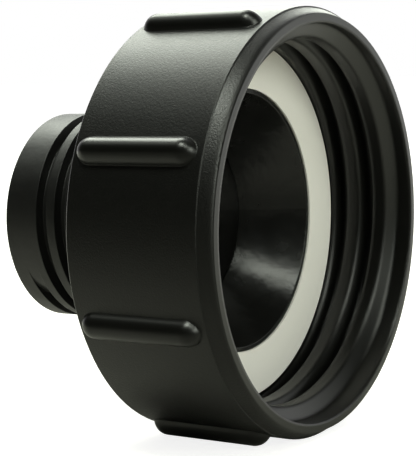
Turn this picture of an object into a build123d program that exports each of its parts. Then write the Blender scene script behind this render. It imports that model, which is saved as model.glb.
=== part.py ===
"""Coarse-thread reducer for a liquid container's outlet: a ribbed swivel nut with a coarse inside
thread, a spout with a funnel and a smaller coarse outside thread, and the flat gasket between them.

Frame: the common axis is X. The origin is the centre of the gasket's sealing face, +X runs from
there to the nut's mouth, and Z is up while the piece lies on the nut. Angles about the axis are in
degrees from +Y towards +Z.
"""

import os
from math import cos, radians, sin, sqrt, tan

from build123d import *

# Swivel nut: inside thread, nominal 100 mm by 8 mm
NUT_THREAD_PITCH = 8.0
NUT_THREAD_ROOT_RADIUS = 50.4
NUT_THREAD_HEIGHT = 3.5
NUT_THREAD_CREST_WIDTH = 3.7
NUT_THREAD_PHASE = 13.3  # x of the first crest's back edge at angle 0
NUT_THREAD_START_ANGLE = 165.0
NUT_THREAD_FADE_RADIUS = 35.0  # of the round cutter that lets the first crest rise slowly

# Swivel nut: walls and rim
NUT_WALL = 4.2
NUT_BACK_WALL = 5.95
NUT_MOUTH_TO_GASKET = 23.3
RIM_FACE_WIDTH = 2.6
RIM_BAND_DEPTH = 3.6
RIM_BULGE = 0.5  # of the rim's round edge past a plain bevel
PARTING_STEP = 0.25
NUT_BACK_CHAMFER = 0.6
SEAT_SHOULDER_GAP = 0.3  # from the gasket's face to the shoulder behind the thread

# Grip ribs on the nut
RIB_COUNT = 8
RIB_FIRST_ANGLE = 21.9
RIB_HEIGHT = 3.1
RIB_CROWN_RADIUS = 4.3
RIB_FRONT_GAP = 1.7  # from the parting line
RIB_BACK_GAP = 1.4  # from the nut's back face to the sunk ball

# Spout: outside thread, nominal 60 mm by 6 mm
SPOUT_THREAD_PITCH = 6.0
SPOUT_THREAD_RADIUS = 28.0
SPOUT_THREAD_DEPTH = 2.8
SPOUT_THREAD_CREST_WIDTH = 2.6
SPOUT_THREAD_PHASE = 10.6  # from the spout's end to the first full groove's steep edge, at angle 180
SPOUT_THREAD_START_ANGLE = 205.0
SPOUT_THREAD_TURNS = 2.8
SPOUT_THREAD_FADE_RADIUS = 15.0  # of the round core that lets the groove deepen slowly
SPOUT_END_CHAMFER = 0.6

# Spout: bore, funnel, neck and flange
SPOUT_WALL = 2.0  # from the thread's root to the bore
BORE_CHAMFER = 0.6
FUNNEL_WALL = 2.7  # from the funnel to the neck, at the flange's back
FUNNEL_TAIL = 5.3  # of the funnel behind the flange
NECK_STEP = 1.2  # from the thread's crest to the neck
SPOUT_REACH = 40.65  # of the spout behind the nut
NECK_LENGTH = 8.5  # of the neck behind the nut
FLANGE_THICKNESS = 8.0
LIP_WIDTH = 1.1
LIP_BELOW_GASKET = 0.4

# Gasket
GASKET_THICKNESS = 3.0
GASKET_WIDTH = 12.4

# Coarse buttress thread form, shared by both threads
STEEP_FLANK = 3.0
SLACK_FLANK = 30.0

# Clearances
FLANGE_ENTRY_CLEARANCE = 0.4  # flange past the nut's thread
GASKET_ENTRY_CLEARANCE = 0.15  # gasket past the nut's thread
NECK_CLEARANCE = 0.3
SWIVEL_END_CLEARANCE = 0.25
GASKET_CLEARANCE = 1.0  # gasket in the nut's seat
LIP_CLEARANCE = 0.1

# Overlap of a cutter or a thread ridge past the surface that it meets
PASS = 0.5

# Places along the axis
gasket_front = 0.0
nut_mouth = gasket_front + NUT_MOUTH_TO_GASKET
parting_line = nut_mouth - RIM_BAND_DEPTH
seat_shoulder = gasket_front + SEAT_SHOULDER_GAP
lip_top = gasket_front - LIP_BELOW_GASKET
flange_front = gasket_front - GASKET_THICKNESS
flange_back = flange_front - FLANGE_THICKNESS
seat_floor = flange_back - SWIVEL_END_CLEARANCE
nut_back = seat_floor - NUT_BACK_WALL
spout_end = nut_back - SPOUT_REACH
neck_start = nut_back - NECK_LENGTH
funnel_end = flange_back - FUNNEL_TAIL

# Radii that follow from the driving sizes
nut_radius = NUT_THREAD_ROOT_RADIUS + NUT_WALL
rim_face_radius = NUT_THREAD_ROOT_RADIUS + RIM_FACE_WIDTH
nut_crest_radius = NUT_THREAD_ROOT_RADIUS - NUT_THREAD_HEIGHT
flange_radius = nut_crest_radius - FLANGE_ENTRY_CLEARANCE
gasket_radius = nut_crest_radius - GASKET_ENTRY_CLEARANCE
seat_radius = gasket_radius + GASKET_CLEARANCE
gasket_hole_radius = gasket_radius - GASKET_WIDTH
lip_radius = gasket_hole_radius - LIP_CLEARANCE
funnel_mouth_radius = lip_radius - LIP_WIDTH
neck_radius = SPOUT_THREAD_RADIUS + NECK_STEP
funnel_middle_radius = neck_radius - FUNNEL_WALL
nut_hole_radius = neck_radius + NECK_CLEARANCE
spout_root_radius = SPOUT_THREAD_RADIUS - SPOUT_THREAD_DEPTH
bore_radius = spout_root_radius - SPOUT_WALL


def axial_cylinder(radius, start, end):
    """A cylinder about the X axis between two places along it."""
    placed = Plane((start, 0, 0), x_dir=(0, 1, 0), z_dir=(1, 0, 0))
    return placed * Cylinder(radius, end - start, align=(Align.CENTER, Align.CENTER, Align.MIN))


def turned(outline):
    """A solid of revolution about the X axis from a closed outline of x and radius."""
    return revolve(make_face(outline), Axis.X)


def helical_solid(outline, pitch, first_angle, turns):
    """Sweeps a closed outline of x and radius along a right-hand helix about the X axis.

    The outline's x is its place at first_angle. It is drawn in the plane of the axis, so every
    point of it follows its own helix.
    """
    path_radius = max(point[1] for point in outline)
    path = Helix(pitch, pitch * turns, path_radius, direction=(0, 0, 1))
    corners = [(radius, 0, x) for x, radius in outline]
    section = make_face(Polyline(*corners, close=True))
    ridge = sweep(section, path=path, is_frenet=True, clean=False)
    upright = Plane(origin=(0, 0, 0), x_dir=(0, 1, 0), z_dir=(1, 0, 0))
    return Rot(X=first_angle) * (upright * ridge)


def off_centre_cylinder(radius, reach, angle, start, end):
    """A cylinder beside the X axis that reaches just so far from the axis at one angle."""
    offset = reach - radius
    centre = (0, offset * cos(radians(angle)), offset * sin(radians(angle)))
    return Pos(*centre) * axial_cylinder(radius, start, end)


def nut_thread():
    """The inside thread: one helical ridge, cut off flat at the seat's shoulder.

    Its front flank, towards the mouth, is slack and lets a neck in. Its back flank is steep and
    pulls on the neck's thread.
    """
    slack_slope = tan(radians(SLACK_FLANK))
    steep_slope = tan(radians(STEEP_FLANK))
    slack_run = NUT_THREAD_HEIGHT * slack_slope
    inner = nut_crest_radius - PASS
    outer = NUT_THREAD_ROOT_RADIUS + PASS
    foot = NUT_THREAD_HEIGHT + PASS
    start_x = NUT_THREAD_PHASE + NUT_THREAD_PITCH * NUT_THREAD_START_ANGLE / 360
    reach = start_x + NUT_THREAD_CREST_WIDTH + slack_run - seat_shoulder
    turns = reach / NUT_THREAD_PITCH
    back = start_x - reach
    front = back + NUT_THREAD_CREST_WIDTH
    outline = [
        (back + steep_slope * PASS, inner),
        (front - slack_slope * PASS, inner),
        (front + slack_slope * foot, outer),
        (back - steep_slope * foot, outer),
    ]
    ridge = helical_solid(outline, NUT_THREAD_PITCH, NUT_THREAD_START_ANGLE - 360 * turns, turns)
    ridge -= axial_cylinder(nut_crest_radius, flange_back, nut_mouth)
    ridge -= axial_cylinder(outer + PASS, flange_back, seat_shoulder)
    ridge -= off_centre_cylinder(
        NUT_THREAD_FADE_RADIUS,
        outer + PASS,
        NUT_THREAD_START_ANGLE,
        start_x - NUT_THREAD_PITCH / 4,
        nut_mouth,
    )
    return ridge


def nut_rib(angle):
    """One grip rib: a bar with a round crown and ball ends, sunk into the nut's skin."""
    depth = RIB_CROWN_RADIUS - RIB_HEIGHT
    end_length = sqrt(RIB_CROWN_RADIUS**2 - depth**2)
    front = parting_line - RIB_FRONT_GAP - end_length
    back = nut_back + RIB_BACK_GAP + RIB_CROWN_RADIUS
    bar = axial_cylinder(RIB_CROWN_RADIUS, back, front)
    for end in (back, front):
        bar += Pos(X=end) * Sphere(RIB_CROWN_RADIUS)
    return Rot(X=angle) * (Pos(Y=nut_radius - depth) * bar)


def build_nut():
    """The swivel nut: turned body, inside thread and grip ribs in one moulding."""
    band_radius = nut_radius - PARTING_STEP
    bevel_middle = ((parting_line + nut_mouth) / 2, (band_radius + rim_face_radius) / 2)
    crown = (bevel_middle[0] + RIM_BULGE * sqrt(0.5), bevel_middle[1] + RIM_BULGE * sqrt(0.5))
    edge = NUT_BACK_CHAMFER
    body = turned(
        [
            Line((nut_mouth, NUT_THREAD_ROOT_RADIUS), (nut_mouth, rim_face_radius)),
            ThreePointArc((nut_mouth, rim_face_radius), crown, (parting_line, band_radius)),
            Polyline(
                (parting_line, band_radius),
                (parting_line, nut_radius),
                (nut_back + edge, nut_radius),
                (nut_back, nut_radius - edge),
                (nut_back, nut_hole_radius),
                (seat_floor, nut_hole_radius),
                (seat_floor, seat_radius),
                (seat_shoulder, seat_radius),
                (seat_shoulder, NUT_THREAD_ROOT_RADIUS),
                (nut_mouth, NUT_THREAD_ROOT_RADIUS),
            ),
        ]
    )
    ribs = [nut_rib(RIB_FIRST_ANGLE + step * 360 / RIB_COUNT) for step in range(RIB_COUNT)]
    bore = axial_cylinder(NUT_THREAD_ROOT_RADIUS, nut_back, nut_mouth)
    return body + [rib - bore for rib in ribs] + nut_thread()


def spout_groove():
    """The helical groove of the outside thread, which starts and ends in a slow ramp.

    The groove's side towards the spout's end is the steep one, where a cap or tap pulls.
    """
    slack_slope = tan(radians(SLACK_FLANK))
    steep_slope = tan(radians(STEEP_FLANK))
    outer = SPOUT_THREAD_RADIUS + PASS
    past_near_side = (SPOUT_THREAD_START_ANGLE - 180) / 360
    steep_edge = spout_end + SPOUT_THREAD_PHASE - SPOUT_THREAD_PITCH * (1 - past_near_side)
    slack_edge = steep_edge + SPOUT_THREAD_PITCH - SPOUT_THREAD_CREST_WIDTH
    outline = [
        (steep_edge + steep_slope * SPOUT_THREAD_DEPTH, spout_root_radius),
        (slack_edge - slack_slope * SPOUT_THREAD_DEPTH, spout_root_radius),
        (slack_edge + slack_slope * PASS, outer),
        (steep_edge - steep_slope * PASS, outer),
    ]
    groove = helical_solid(
        outline, SPOUT_THREAD_PITCH, SPOUT_THREAD_START_ANGLE, SPOUT_THREAD_TURNS
    )
    margin = SPOUT_THREAD_CREST_WIDTH / 2
    run_out = SPOUT_THREAD_PITCH * SPOUT_THREAD_TURNS
    for angle, shift in (
        (SPOUT_THREAD_START_ANGLE, 0),
        (SPOUT_THREAD_START_ANGLE + 360 * SPOUT_THREAD_TURNS, run_out),
    ):
        groove -= off_centre_cylinder(
            SPOUT_THREAD_FADE_RADIUS,
            SPOUT_THREAD_RADIUS,
            angle,
            steep_edge + shift - margin,
            slack_edge + shift + margin,
        )
    return groove


def build_spout():
    """The spout: flange with a gasket lip, neck, outside thread, bore and funnel in one moulding."""
    profile = Polyline(
        (spout_end, bore_radius + BORE_CHAMFER),
        (spout_end, SPOUT_THREAD_RADIUS - SPOUT_END_CHAMFER),
        (spout_end + SPOUT_END_CHAMFER, SPOUT_THREAD_RADIUS),
        (neck_start, SPOUT_THREAD_RADIUS),
        (neck_start + NECK_STEP, neck_radius),
        (flange_back, neck_radius),
        (flange_back, flange_radius),
        (flange_front, flange_radius),
        (flange_front, lip_radius),
        (lip_top, lip_radius),
        (lip_top, funnel_mouth_radius),
        (flange_back, funnel_middle_radius),
        (funnel_end, bore_radius),
        (spout_end + BORE_CHAMFER, bore_radius),
        close=True,
    )
    return turned(profile) - spout_groove()


def build_gasket():
    """The flat gasket, a plain ring on the flange around its lip."""
    ring = axial_cylinder(gasket_radius, flange_front, gasket_front)
    return ring - axial_cylinder(gasket_hole_radius, flange_front, gasket_front)


os.makedirs("parts", exist_ok=True)
pieces = {
    "swivel_nut": build_nut(),
    "threaded_spout": build_spout(),
    "flat_gasket": build_gasket(),
}
for name, piece in pieces.items():
    export_step(piece, f"parts/{name}.step")
    box = piece.bounding_box()
    print(name, "volume", round(piece.volume), "box", box.min, box.max, "solids", len(piece.solids()))
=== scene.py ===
from math import atan2, cos, hypot, pi, radians, sin

import bpy
from mathutils import Matrix, Vector


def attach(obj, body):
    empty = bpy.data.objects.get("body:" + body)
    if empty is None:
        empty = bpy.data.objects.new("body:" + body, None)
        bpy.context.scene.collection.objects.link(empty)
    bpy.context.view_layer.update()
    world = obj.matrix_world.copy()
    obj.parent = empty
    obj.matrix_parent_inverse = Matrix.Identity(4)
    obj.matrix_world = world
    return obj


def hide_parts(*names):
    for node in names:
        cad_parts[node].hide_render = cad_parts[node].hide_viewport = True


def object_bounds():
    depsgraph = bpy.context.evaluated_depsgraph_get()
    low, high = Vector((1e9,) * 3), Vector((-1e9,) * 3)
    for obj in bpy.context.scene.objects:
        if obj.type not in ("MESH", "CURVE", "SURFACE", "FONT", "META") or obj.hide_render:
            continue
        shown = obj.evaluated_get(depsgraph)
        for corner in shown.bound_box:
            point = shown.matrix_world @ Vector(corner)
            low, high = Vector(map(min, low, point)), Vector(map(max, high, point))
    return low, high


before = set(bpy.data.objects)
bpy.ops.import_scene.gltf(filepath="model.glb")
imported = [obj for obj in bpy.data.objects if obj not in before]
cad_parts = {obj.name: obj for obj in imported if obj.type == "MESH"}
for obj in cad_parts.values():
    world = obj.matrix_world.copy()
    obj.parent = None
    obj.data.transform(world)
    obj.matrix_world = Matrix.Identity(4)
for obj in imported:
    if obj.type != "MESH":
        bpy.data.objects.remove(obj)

cad_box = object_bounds()
MM = 0.001

# Threaded spout
# Black polypropylene, injection moulded in a polished tool, so its skin is smooth and glossy.
# It is pushed through the nut from the mouth, and its flange turns freely on the nut's floor.

SPOUT_BLACK = "#121211"
FUNNEL_END = -16.3 * MM
HANDLED_FROM = FUNNEL_END - 3 * MM
SHRINK_WAVE = 9 * MM


def colour(code):
    """An sRGB hex colour as the linear values that Blender works in."""
    parts = [int(code[place:place + 2], 16) / 255 for place in (1, 3, 5)]
    linear = [p / 12.92 if p <= 0.04045 else ((p + 0.055) / 1.055) ** 2.4 for p in parts]
    return (*linear, 1.0)


def add(tree, kind, inputs=None, **settings):
    """Adds a shader node. Inputs take values or the output sockets of other nodes."""
    made = tree.nodes.new("ShaderNode" + kind)
    for name, value in settings.items():
        setattr(made, name, value)
    for name, value in (inputs or {}).items():
        if isinstance(value, bpy.types.NodeSocket):
            tree.links.new(value, made.inputs[name])
        else:
            made.inputs[name].default_value = value
    return made


def new_material(name):
    """An empty node material."""
    material = bpy.data.materials.new(name)
    material.use_nodes = True
    material.node_tree.nodes.clear()
    return material, material.node_tree


def dress(piece, material):
    """Gives a piece its one material."""
    piece.data.materials.clear()
    piece.data.materials.append(material)


def smooth_black_polypropylene():
    """Polished tool skin: glossy in the funnel, satin outside where hands and crates rub it.
    Its reflections waver a little, because the thick wall shrank unevenly."""
    material, tree = new_material("smooth_black_polypropylene")
    place = add(tree, "TexCoord").outputs["Object"]
    cloud = add(tree, "TexNoise", {"Vector": place, "Scale": 1 / SHRINK_WAVE, "Detail": 4.0})
    along = add(tree, "SeparateXYZ", {0: place}).outputs["X"]
    worn = add(
        tree,
        "MapRange",
        {
            "Value": along,
            "From Min": HANDLED_FROM,
            "From Max": FUNNEL_END,
            "To Min": 0.2,
            "To Max": 0.0,
        },
    )
    cast = add(tree, "MapRange", {"Value": cloud.outputs["Fac"], "To Min": 0.17, "To Max": 0.33})
    gloss = add(tree, "Math", {0: cast.outputs[0], 1: worn.outputs[0]}, operation="ADD")
    edge = add(tree, "Bevel", {"Radius": 0.35 * MM}, samples=6)
    wave = add(
        tree,
        "Bump",
        {
            "Height": cloud.outputs["Fac"],
            "Distance": 0.3 * MM,
            "Strength": 1.0,
            "Normal": edge.outputs["Normal"],
        },
    )
    surface = add(
        tree,
        "BsdfPrincipled",
        {
            "Base Color": colour(SPOUT_BLACK),
            "Roughness": gloss.outputs[0],
            "IOR": 1.49,
            "Normal": wave.outputs["Normal"],
        },
    )
    add(tree, "OutputMaterial", {"Surface": surface.outputs["BSDF"]})
    return material


dress(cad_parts["threaded_spout"], smooth_black_polypropylene())

# Flat gasket
# Off-white food-safe rubber, punched from a sheet 3 mm thick.
# It lies on the spout's flange around a low lip.

GASKET_WHITE = "#f8f4f0"
SHEET_CLOUD = 6 * MM
SHEET_TOOTH = 0.4 * MM


def off_white_rubber():
    """Calendered sheet: dull, with a faint clouding and a fine tooth."""
    material, tree = new_material("off_white_rubber")
    place = add(tree, "TexCoord").outputs["Object"]
    cloud = add(tree, "TexNoise", {"Vector": place, "Scale": 1 / SHEET_CLOUD, "Detail": 3.0})
    tooth = add(tree, "TexNoise", {"Vector": place, "Scale": 1 / SHEET_TOOTH})
    dull = add(tree, "MapRange", {"Value": cloud.outputs["Fac"], "To Min": 0.6, "To Max": 0.8})
    skin = add(tree, "Bump", {"Height": tooth.outputs["Fac"], "Distance": 0.01 * MM})
    surface = add(
        tree,
        "BsdfPrincipled",
        {
            "Base Color": colour(GASKET_WHITE),
            "Roughness": dull.outputs["Result"],
            "IOR": 1.52,
            "Normal": skin.outputs["Normal"],
        },
    )
    add(tree, "OutputMaterial", {"Surface": surface.outputs["BSDF"]})
    return material


dress(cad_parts["flat_gasket"], off_white_rubber())

# Swivel nut
# Black polypropylene, injection moulded. The mould is spark-eroded on the cylinder between the ribs
# and on the rim's slope, which leaves a satin grain. The ribs, the rim's face and the inside are
# smoother. The nut turns on the spout's neck behind the flange.

NUT_BLACK = "#0b0b09"
NUT_RADIUS = 54.6 * MM
THREAD_ROOT = 50.4 * MM
PARTING_LINE = 19.7 * MM
RIM_INSIDE = 52.3 * MM
# The real grain is finer than 0.1 mm. It is drawn coarser, so that it shows.
GRAIN = 0.45 * MM


def spark_eroded_black_polypropylene():
    """Eroded skin: a fine grain that spreads the highlight and lets it sparkle.
    Beside it the ribs are smooth and satin, and every edge is a little round."""
    material, tree = new_material("spark_eroded_black_polypropylene")
    place = add(tree, "TexCoord").outputs["Object"]
    across = add(tree, "VectorMath", {0: place, 1: (0, 1, 1)}, operation="MULTIPLY")
    radius = add(tree, "VectorMath", {0: across.outputs[0]}, operation="LENGTH").outputs["Value"]

    off_rim_face = add(
        tree,
        "MapRange",
        {"Value": radius, "From Min": RIM_INSIDE + 0.2 * MM, "From Max": RIM_INSIDE + 0.4 * MM},
    )
    off_ribs = add(
        tree,
        "MapRange",
        {"Value": radius, "From Min": NUT_RADIUS + 0.15 * MM, "From Max": NUT_RADIUS + 0.05 * MM},
    )
    grained = add(
        tree,
        "Math",
        {0: off_rim_face.outputs[0], 1: off_ribs.outputs[0]},
        operation="MULTIPLY",
    ).outputs[0]
    grain = add(
        tree,
        "TexNoise",
        {"Vector": place, "Scale": 1 / GRAIN, "Detail": 2.0, "Roughness": 0.6},
    )
    depth = add(tree, "Math", {0: grain.outputs["Fac"], 1: grained}, operation="MULTIPLY")
    speckle = add(tree, "MapRange", {"Value": grain.outputs["Fac"], "To Min": 0.26, "To Max": 0.5})
    gloss = add(tree, "Mix", {"Factor": grained, "A": 0.31, "B": speckle.outputs[0]})
    softness = add(
        tree,
        "MapRange",
        {
            "Value": radius,
            "From Min": THREAD_ROOT + 0.3 * MM,
            "From Max": THREAD_ROOT + 1.2 * MM,
            "To Min": 1.5 * MM,
            "To Max": 0.35 * MM,
        },
    )
    edge = add(tree, "Bevel", {"Radius": softness.outputs[0]}, samples=6)
    skin = add(
        tree,
        "Bump",
        {
            "Height": depth.outputs[0],
            "Distance": 0.075 * MM,
            "Strength": 1.0,
            "Normal": edge.outputs["Normal"],
        },
    )
    surface = add(
        tree,
        "BsdfPrincipled",
        {
            "Base Color": colour(NUT_BLACK),
            "Roughness": gloss.outputs["Result"],
            "IOR": 1.49,
            "Normal": skin.outputs["Normal"],
        },
    )
    add(tree, "OutputMaterial", {"Surface": surface.outputs["BSDF"]})
    return material


RIB_COUNT = 8
RIB_FIRST_ANGLE = radians(21.9)
RIB_HALF_WIDTH = 4.13 * MM
RIB_SLIMNESS = 0.85
RIB_LEAN = radians(0.2)
RIB_FOOT = radians(0.4)
RIM_DEPTH = 3.6 * MM
RIM_START = 54.35 * MM
RIM_FACE = 52.5 * MM
RIM_TILT = radians(20)
RIM_ROLL = radians(75)
TOUCH = 0.01 * MM


def shaped_nut(nut):
    """A copy of the nut with slimmer ribs, and a rim that slopes evenly and rolls over late."""
    mesh = nut.data.copy()
    pitch = 2 * pi / RIB_COUNT
    reach = RIB_HALF_WIDTH / NUT_RADIUS + RIB_FOOT
    turns = {}
    for vertex in mesh.vertices:
        radius = hypot(vertex.co.y, vertex.co.z)
        if vertex.co.x > PARTING_LINE + TOUCH and radius > RIM_INSIDE:
            forward = (vertex.co.x - PARTING_LINE) / RIM_DEPTH
            sloped = (RIM_START + (RIM_FACE - RIM_START) * forward) / radius
            vertex.co.y *= sloped
            vertex.co.z *= sloped
        if radius < NUT_RADIUS - TOUCH:
            continue
        angle = atan2(vertex.co.z, vertex.co.y)
        steps = round((angle - RIB_FIRST_ANGLE) / pitch)
        offset = angle - RIB_FIRST_ANGLE - steps * pitch
        if abs(offset) > reach:
            continue
        turned = angle - offset + RIB_LEAN + offset * RIB_SLIMNESS
        turns[vertex.index] = (angle, turned)
        vertex.co.y = radius * cos(turned)
        vertex.co.z = radius * sin(turned)
    normals = []
    for corner, kept in zip(mesh.loops, nut.data.corner_normals):
        normal = kept.vector.copy()
        if corner.vertex_index in turns:
            angle, turned = turns[corner.vertex_index]
            out = normal.y * cos(angle) + normal.z * sin(angle)
            side = (normal.z * cos(angle) - normal.y * sin(angle)) / RIB_SLIMNESS
            normal.y = out * cos(turned) - side * sin(turned)
            normal.z = out * sin(turned) + side * cos(turned)
            normal.normalize()
        place = mesh.vertices[corner.vertex_index].co
        on_rim = RIM_INSIDE < hypot(place.y, place.z) < RIM_START + TOUCH
        on_flat_face = normal.x > 0.95
        if on_rim and place.x > PARTING_LINE - TOUCH and not on_flat_face:
            forward = (place.x - PARTING_LINE) / RIM_DEPTH
            roll = RIM_TILT + (RIM_ROLL - RIM_TILT) * max(forward, 0) ** 6
            outwards = Vector((0, place.y, place.z)).normalized()
            normal = cos(roll) * outwards + sin(roll) * Vector((1, 0, 0))
        normals.append(normal)
    mesh.normals_split_custom_set(normals)
    made = bpy.data.objects.new("shaped_nut", mesh)
    bpy.context.scene.collection.objects.link(made)
    return made


seen_nut = shaped_nut(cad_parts["swivel_nut"])
dress(seen_nut, spark_eroded_black_polypropylene())
dress(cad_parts["swivel_nut"], seen_nut.data.materials[0])
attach(seen_nut, "nut")
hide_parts("swivel_nut")

# Studio
# A white table that runs back without an edge, and soft boxes around the object. The room in front
# of the table is dark.

FLOOR_REACH = 6.0
FLOOR_WHITE = "#bcbab2"
SHADOW_REACH = 0.12
BACKDROP_SIDE = (-0.35, 0.94, 0.0)
WHITE_FROM = 0.30
SHADOW_GLOW = 0.85
BACKDROP_FROM = 0.1
BACKDROP_FULL = 0.5
BACKDROP_GLOW = 0.9
SHADE_FROM = -0.03
SHADE_FULL = -0.15
SHADE = 0.25


def white_table():
    """Matt white paper. To the eye it glows to full white away from the object's shadow.
    Shiny surfaces mirror it white at the back and in shade at the front."""
    material, tree = new_material("white_table")
    ray = add(tree, "LightPath")
    place = add(tree, "TexCoord").outputs["Object"]
    far = add(tree, "VectorMath", {0: place}, operation="LENGTH").outputs["Value"]
    clear = add(
        tree,
        "MapRange",
        {
            "Value": far,
            "From Min": SHADOW_REACH,
            "From Max": WHITE_FROM,
            "To Min": SHADOW_GLOW,
            "To Max": 1.0,
        },
    )
    towards_back = add(
        tree,
        "VectorMath",
        {0: place, 1: BACKDROP_SIDE},
        operation="DOT_PRODUCT",
    ).outputs["Value"]
    back = add(
        tree,
        "MapRange",
        {
            "Value": towards_back,
            "From Min": BACKDROP_FROM,
            "From Max": BACKDROP_FULL,
            "To Min": 0.0,
            "To Max": BACKDROP_GLOW,
        },
    )
    seen = add(
        tree,
        "Math",
        {0: ray.outputs["Is Camera Ray"], 1: clear.outputs[0]},
        operation="MULTIPLY",
    )
    mirrored = add(
        tree,
        "Math",
        {0: ray.outputs["Is Glossy Ray"], 1: back.outputs[0]},
        operation="MULTIPLY",
    )
    lift = add(tree, "Math", {0: seen.outputs[0], 1: mirrored.outputs[0]}, operation="ADD")
    shaded = add(
        tree,
        "MapRange",
        {
            "Value": towards_back,
            "From Min": SHADE_FULL,
            "From Max": SHADE_FROM,
            "To Min": SHADE,
            "To Max": 1.0,
        },
    )
    mirrored_ray = ray.outputs["Is Glossy Ray"]
    shade = add(tree, "Mix", {"Factor": mirrored_ray, "A": 1.0, "B": shaded.outputs[0]})
    paper = add(
        tree,
        "VectorMath",
        {0: colour(FLOOR_WHITE)[:3], "Scale": shade.outputs["Result"]},
        operation="SCALE",
    )
    matt = add(tree, "BsdfDiffuse", {"Color": paper.outputs[0]})
    glow = add(tree, "Emission", {"Strength": lift.outputs[0]})
    both = add(tree, "AddShader", {0: matt.outputs[0], 1: glow.outputs[0]})
    add(tree, "OutputMaterial", {"Surface": both.outputs[0]})
    return material


floor_z = cad_box[0].z
corners = [
    (x * FLOOR_REACH, y * FLOOR_REACH, floor_z) for x, y in ((-1, -1), (1, -1), (1, 1), (-1, 1))
]
floor_mesh = bpy.data.meshes.new("floor")
floor_mesh.from_pydata(corners, [], [(0, 1, 2, 3)])
floor_mesh.materials.append(white_table())
floor = bpy.data.objects.new("floor", floor_mesh)
bpy.context.scene.collection.objects.link(floor)


LAMP_WHITE = "#f8fff1"


def soft_box(name, towards, distance, size, power):
    """A square soft light that stands in one direction from the object and faces it.
    Distance and size are in metres, power in watts."""
    lamp = bpy.data.lights.new(name, "AREA")
    lamp.shape = "SQUARE"
    lamp.size = size
    lamp.energy = power
    lamp.color = colour(LAMP_WHITE)[:3]
    made = bpy.data.objects.new(name, lamp)
    place = Vector(towards).normalized() * distance
    made.location = place
    made.rotation_euler = place.to_track_quat("Z", "Y").to_euler()
    bpy.context.scene.collection.objects.link(made)


soft_box("high_left", (-0.546, 0.36, 0.757), 1.2, 0.6, 9.0)
soft_box("over_left", (-0.546, -0.15, 0.82), 1.2, 0.5, 0.8)
soft_box("right", (0.95, -0.10, 0.3), 1.2, 0.6, 2.5)
soft_box("right_back", (0.6, 0.78, 0.2), 1.2, 0.7, 0.8)
soft_box("behind", (-0.35, 0.83, 0.43), 1.5, 0.7, 6.5)
soft_box("over_front", (0.47, -0.42, 0.77), 1.2, 0.32, 2.4)
soft_box("overhead", (0.04, -0.43, 0.90), 1.2, 0.35, 7.5)
soft_box("front_right", (0.85, -0.3, 0.45), 1.2, 0.5, 3.8)

# World
# White behind the object to the eye. To the surfaces it is a white backdrop behind and a dark
# room in front.

ROOM_DARK = 0.01
BACKDROP_WHITE = 0.9
BACKDROP_EDGE = 0.2
BACKDROP_MIDDLE = 0.8

world = bpy.data.worlds.new("studio")
bpy.context.scene.world = world
world.use_nodes = True
tree = world.node_tree
tree.nodes.clear()
ray = add(tree, "LightPath")
facing = add(
    tree,
    "VectorMath",
    {0: add(tree, "TexCoord").outputs["Generated"], 1: BACKDROP_SIDE},
    operation="DOT_PRODUCT",
)
strength = add(
    tree,
    "MapRange",
    {
        "Value": facing.outputs["Value"],
        "From Min": BACKDROP_EDGE,
        "From Max": BACKDROP_MIDDLE,
        "To Min": ROOM_DARK,
        "To Max": BACKDROP_WHITE,
    },
)
white = add(tree, "Background", {"Color": (1, 1, 1, 1), "Strength": 1.0})
fill = add(tree, "Background", {"Color": (1, 1, 1, 1), "Strength": strength.outputs[0]})
both = add(
    tree,
    "MixShader",
    {0: ray.outputs["Is Camera Ray"], 1: fill.outputs[0], 2: white.outputs[0]},
)
add(tree, "OutputWorld", {"Surface": both.outputs[0]})

# Camera
# It stands in front of the mouth's near side, a little above the axis. Lengths in pixels and the
# centre pixel are those of the photograph.

PHOTO_WIDTH = 416
PHOTO_HEIGHT = 456
FOCAL_PIXELS = 1550.0
CENTRE_PIXEL = (192.17, 208.16)
CAMERA_AZIMUTH = 0.99028
CAMERA_ELEVATION = 0.0941
CAMERA_ROLL = -0.02763
CAMERA_DISTANCE = 412.15 * MM
SENSOR = 36
LOOKED_AT = Vector((-16.642, 0, 2.7225)) * MM

towards = Vector(
    (
        cos(CAMERA_ELEVATION) * cos(CAMERA_AZIMUTH),
        -cos(CAMERA_ELEVATION) * sin(CAMERA_AZIMUTH),
        sin(CAMERA_ELEVATION),
    )
)
level_right = Vector((0, 0, 1)).cross(towards).normalized()
level_up = towards.cross(level_right)
right = cos(CAMERA_ROLL) * level_right + sin(CAMERA_ROLL) * level_up
up = towards.cross(right)
view = Matrix((right, up, towards)).transposed().to_4x4()
view.translation = LOOKED_AT + CAMERA_DISTANCE * towards
camera_data = bpy.data.cameras.new("camera")
camera = bpy.data.objects.new("camera", camera_data)
camera.matrix_world = view
camera_data.sensor_width = SENSOR
camera_data.lens = SENSOR * FOCAL_PIXELS / PHOTO_HEIGHT
camera_data.shift_x = (PHOTO_WIDTH / 2 - CENTRE_PIXEL[0]) / PHOTO_HEIGHT
camera_data.shift_y = (CENTRE_PIXEL[1] - PHOTO_HEIGHT / 2) / PHOTO_HEIGHT
camera_data.clip_start = 0.01
bpy.context.scene.collection.objects.link(camera)
bpy.context.scene.camera = camera
bpy.context.scene.view_settings.view_transform = "Standard"
